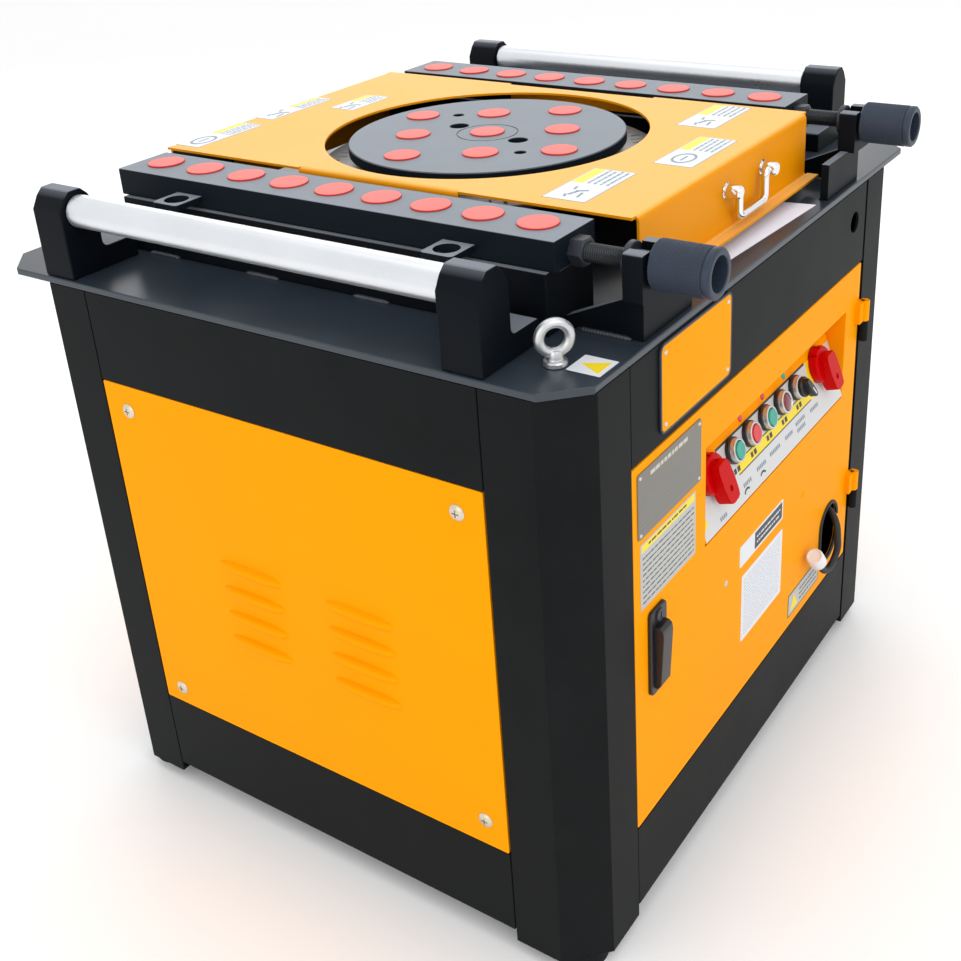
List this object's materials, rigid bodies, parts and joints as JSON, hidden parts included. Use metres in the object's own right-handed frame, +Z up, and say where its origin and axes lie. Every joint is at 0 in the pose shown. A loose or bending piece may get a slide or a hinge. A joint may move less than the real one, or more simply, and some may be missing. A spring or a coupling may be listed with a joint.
{
  "type": "rebar bender",
  "caption": "Floor-standing electric bar bending machine: a geared turning disc between two adjustable tooling rails, with rollers, on a steel cabinet with controls.",
  "frame": {"origin": "centre of the footprint of the whole machine, on the floor under its four feet", "axes": "+Z up; -Y is the side with the door, knobs and controls; the bar to be bent lies along X over the two rollers"},
  "size_m": [0.934, 0.884, 0.8465],
  "materials": {
    "black_paint": "satin",
    "yellow_paint": "semi-gloss",
    "tooling_grey": "satin",
    "roller_steel": "ground",
    "zinc_plate": "zinc plated",
    "chrome_plate": "polished",
    "cast_iron": "as cast, primed",
    "blackened_steel": "black oxide",
    "red_plastic": "gloss",
    "green_plastic": "gloss",
    "lamp_lens": "translucent",
    "black_plastic": "moulded",
    "belt_rubber": "dull",
    "white_plastic": "moulded",
    "plate_aluminium": "etched",
    "box_paint": "satin"
  },
  "bodies": {
    "cabinet": {"table_plate": "black_paint", "corner_post_front_left": "black_paint", "corner_post_front_right": "black_paint", "corner_post_rear_left": "black_paint", "corner_post_rear_right": "black_paint", "upper_apron_front": "black_paint", "lower_apron_front": "black_paint", "upper_apron_rear": "black_paint", "lower_apron_rear": "black_paint", "upper_apron_left": "black_paint", "lower_apron_left": "black_paint", "upper_apron_right": "black_paint", "lower_apron_right": "black_paint", "left_panel": "yellow_paint", "right_panel": "yellow_paint", "rear_panel": "yellow_paint", "name_plate": "yellow_paint", "floor_pan": "black_paint", "eye_bolt_front": "zinc_plate", "eye_bolt_rear": "zinc_plate", "roller_bracket_left_front": "black_paint", "roller_bracket_left_rear": "black_paint", "rail_base_left": "black_paint", "roller_bracket_right_front": "black_paint", "roller_bracket_right_rear": "black_paint", "rail_base_right": "black_paint", "drive_belt": "belt_rubber", "motor": "cast_iron", "gear_case": "cast_iron", "hinge_upper": "yellow_paint", "hinge_lower": "yellow_paint", "electrical_box": "box_paint"},
    "disc_body": {"turning_disc": "tooling_grey", "angle_ring": "zinc_plate", "main_shaft": "cast_iron", "main_gear": "cast_iron"},
    "pinion_body": {"pinion_shaft": "cast_iron"},
    "input_body": {"large_pulley": "cast_iron"},
    "motor_rotor": {"motor_pulley": "cast_iron"},
    "roller_left_body": {"roller_left": "roller_steel"},
    "roller_right_body": {"roller_right": "roller_steel"},
    "rail_left_body": {"rail_left": "tooling_grey"},
    "rail_right_body": {"rail_right": "tooling_grey"},
    "screw_left_body": {"adjusting_screw_left": "blackened_steel"},
    "screw_right_body": {"adjusting_screw_right": "blackened_steel"},
    "cover_body": {"top_cover": "yellow_paint"},
    "cover_bail": {"cover_handle": "chrome_plate"},
    "door_body": {"front_door": "yellow_paint", "data_plate": "plate_aluminium", "control_plate": "white_plastic", "indicator_lamp": "lamp_lens", "cable_end": "black_plastic", "cable_connector": "white_plastic"},
    "latch_body": {"latch_paddle": "black_plastic"},
    "button_left_body": {"button_green_left": "green_plastic"},
    "button_mid_body": {"button_red": "red_plastic"},
    "button_right_body": {"button_green_right": "green_plastic"},
    "selector_body": {"selector_switch": "black_plastic"},
    "rotary_left_body": {"rotary_handle_left": "red_plastic"},
    "rotary_right_body": {"rotary_handle_right": "red_plastic"}
  },
  "joints": [
    {"name": "input_spin", "type": "hinge", "parent": "cabinet", "child": "input_body", "pos_m": [-0.022, 0.071, 0.356], "axis": [0, 0, 1], "continuous": true},
    {"name": "disc_spin", "type": "hinge", "parent": "cabinet", "child": "disc_body", "pos_m": [-0.022, 0.011, 0.742], "axis": [0, 0, 1], "continuous": true},
    {"name": "pinion_spin", "type": "hinge", "parent": "cabinet", "child": "pinion_body", "pos_m": [-0.022, 0.191, 0.656], "axis": [0, 0, 1], "continuous": true},
    {"name": "motor_spin", "type": "hinge", "parent": "cabinet", "child": "motor_rotor", "pos_m": [-0.307, 0.071, 0.356], "axis": [0, 0, 1], "continuous": true},
    {"name": "roller_left_spin", "type": "hinge", "parent": "cabinet", "child": "roller_left_body", "pos_m": [-0.431, 0.036, 0.82], "axis": [0, 1, 0], "continuous": true},
    {"name": "roller_right_spin", "type": "hinge", "parent": "cabinet", "child": "roller_right_body", "pos_m": [0.437, 0.036, 0.82], "axis": [0, 1, 0], "continuous": true},
    {"name": "screw_left_turn", "type": "hinge", "parent": "cabinet", "child": "screw_left_body", "pos_m": [-0.302, -0.378, 0.821], "axis": [0, 1, 0], "range_deg": [-3240, 3240]},
    {"name": "screw_right_turn", "type": "hinge", "parent": "cabinet", "child": "screw_right_body", "pos_m": [0.258, -0.378, 0.821], "axis": [0, 1, 0], "range_deg": [-3240, 3240]},
    {"name": "rail_left_slide", "type": "slide", "parent": "cabinet", "child": "rail_left_body", "axis": [0, 1, 0], "range_m": [-0.0224, 0.0224]},
    {"name": "rail_right_slide", "type": "slide", "parent": "cabinet", "child": "rail_right_body", "axis": [0, 1, 0], "range_m": [-0.0224, 0.0224]},
    {"name": "cover_lift", "type": "slide", "parent": "cabinet", "child": "cover_body", "axis": [0, 0, 1], "range_m": [0, 0.12]},
    {"name": "cover_handle_swing", "type": "hinge", "parent": "cover_body", "child": "cover_bail", "pos_m": [0.016, -0.333, 0.808], "axis": [-1, 0, 0], "range_deg": [0, 90]},
    {"name": "door_swing", "type": "hinge", "parent": "cabinet", "child": "door_body", "pos_m": [0.295, -0.3813, 0.414], "axis": [0, 0, 1], "range_deg": [0, 110]},
    {"name": "latch_lift", "type": "hinge", "parent": "door_body", "child": "latch_body", "pos_m": [-0.308, -0.38, 0.422], "axis": [-1, 0, 0], "range_deg": [0, 30], "stiffness_Nm_per_rad": 0.3},
    {"name": "button_left_press", "type": "slide", "parent": "door_body", "child": "button_left_body", "axis": [0, 0.9538, -0.3004], "range_m": [0, 0.004], "stiffness_N_per_m": 800},
    {"name": "button_mid_press", "type": "slide", "parent": "door_body", "child": "button_mid_body", "axis": [0, 0.9538, -0.3004], "range_m": [0, 0.004], "stiffness_N_per_m": 800},
    {"name": "button_right_press", "type": "slide", "parent": "door_body", "child": "button_right_body", "axis": [0, 0.9538, -0.3004], "range_m": [0, 0.004], "stiffness_N_per_m": 800},
    {"name": "selector_turn", "type": "hinge", "parent": "door_body", "child": "selector_body", "pos_m": [0.112, -0.36211, 0.50586], "axis": [0, -0.9538, 0.3004], "range_deg": [-45, 45]},
    {"name": "rotary_left_turn", "type": "hinge", "parent": "door_body", "child": "rotary_left_body", "pos_m": [-0.143, -0.36181, 0.50682], "axis": [0, 0.9538, -0.3004], "range_deg": [0, 90]},
    {"name": "rotary_right_turn", "type": "hinge", "parent": "door_body", "child": "rotary_right_body", "pos_m": [0.189, -0.36181, 0.50682], "axis": [0, 0.9538, -0.3004], "range_deg": [0, 90]}
  ],
  "couplings": [
    {"joint": "disc_spin", "follows": "input_spin", "ratio": 0.020833},
    {"joint": "pinion_spin", "follows": "input_spin", "ratio": -0.083333},
    {"joint": "motor_spin", "follows": "input_spin", "ratio": 3.6364},
    {"joint": "screw_left_turn", "follows": "rail_left_slide", "rad_per_m": -2513.3},
    {"joint": "screw_right_turn", "follows": "rail_right_slide", "rad_per_m": -2513.3}
  ]
}
